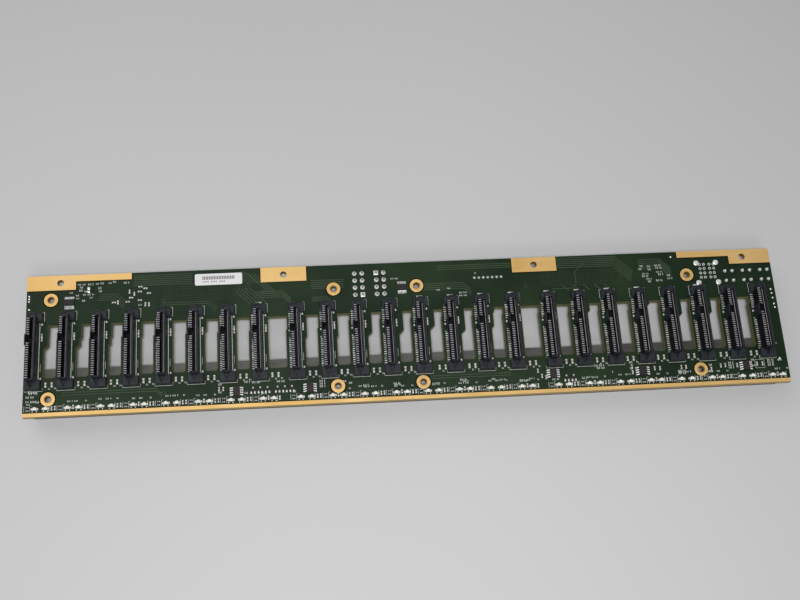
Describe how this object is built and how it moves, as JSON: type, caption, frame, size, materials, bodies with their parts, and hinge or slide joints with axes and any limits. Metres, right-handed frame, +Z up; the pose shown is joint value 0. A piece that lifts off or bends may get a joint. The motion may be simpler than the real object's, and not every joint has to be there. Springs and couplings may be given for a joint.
{
  "type": "drive backplane board",
  "caption": "Long green circuit board with a row of upright black drive connectors between airflow slots, white status lamps along one edge, plated screw rings and cable headers on its back.",
  "frame": {"origin": "centre of the footprint, at the height of the surface that the board lies on", "axes": "+X along the board, +Y from the lamp edge to the cable edge, +Z up out of the front with the drive connectors"},
  "size_m": [0.418, 0.0794, 0.0251],
  "materials": {
    "board": "satin green solder mask on glass-epoxy laminate",
    "gold": "bare gold-plated copper, satin",
    "label": "matt, blank",
    "connector": "matt moulded plastic",
    "contact": "plated spring contacts",
    "led": "white, clear",
    "chip": "matt",
    "header": "matt moulded plastic",
    "tinned": "tinned",
    "shell": "nickel-plated",
    "stiffener": "zinc-plated steel, satin",
    "film": "matt film"
  },
  "bodies": {
    "root": {"circuit_board": "board", "ground_plating": "gold", "blank_label": "label", "drive_connector_01": "connector", "drive_connector_02": "connector", "drive_connector_03": "connector", "drive_connector_04": "connector", "drive_connector_05": "connector", "drive_connector_06": "connector", "drive_connector_07": "connector", "drive_connector_08": "connector", "drive_connector_09": "connector", "drive_connector_10": "connector", "drive_connector_11": "connector", "drive_connector_12": "connector", "drive_connector_13": "connector", "drive_connector_14": "connector", "drive_connector_15": "connector", "drive_connector_16": "connector", "drive_connector_17": "connector", "drive_connector_18": "connector", "drive_connector_19": "connector", "drive_connector_20": "connector", "drive_connector_21": "connector", "drive_connector_22": "connector", "drive_connector_23": "connector", "drive_connector_24": "connector", "drive_contacts_bank_1": "contact", "drive_contacts_bank_2": "contact", "drive_contacts_bank_3": "contact", "status_leds": "led", "chip_packages": "chip", "power_header_left": "header", "power_header_right": "header", "power_header_posts": "tinned", "aux_header_1": "header", "aux_header_2": "header", "aux_header_3": "header", "aux_header_posts": "tinned", "sideband_header": "header", "sideband_posts": "tinned", "signal_connector_left": "connector", "signal_connector_right": "connector", "service_socket_shell": "shell", "service_socket_insert": "header", "stiffener_bar": "stiffener", "bonding_film": "film"}
  },
  "joints": []
}
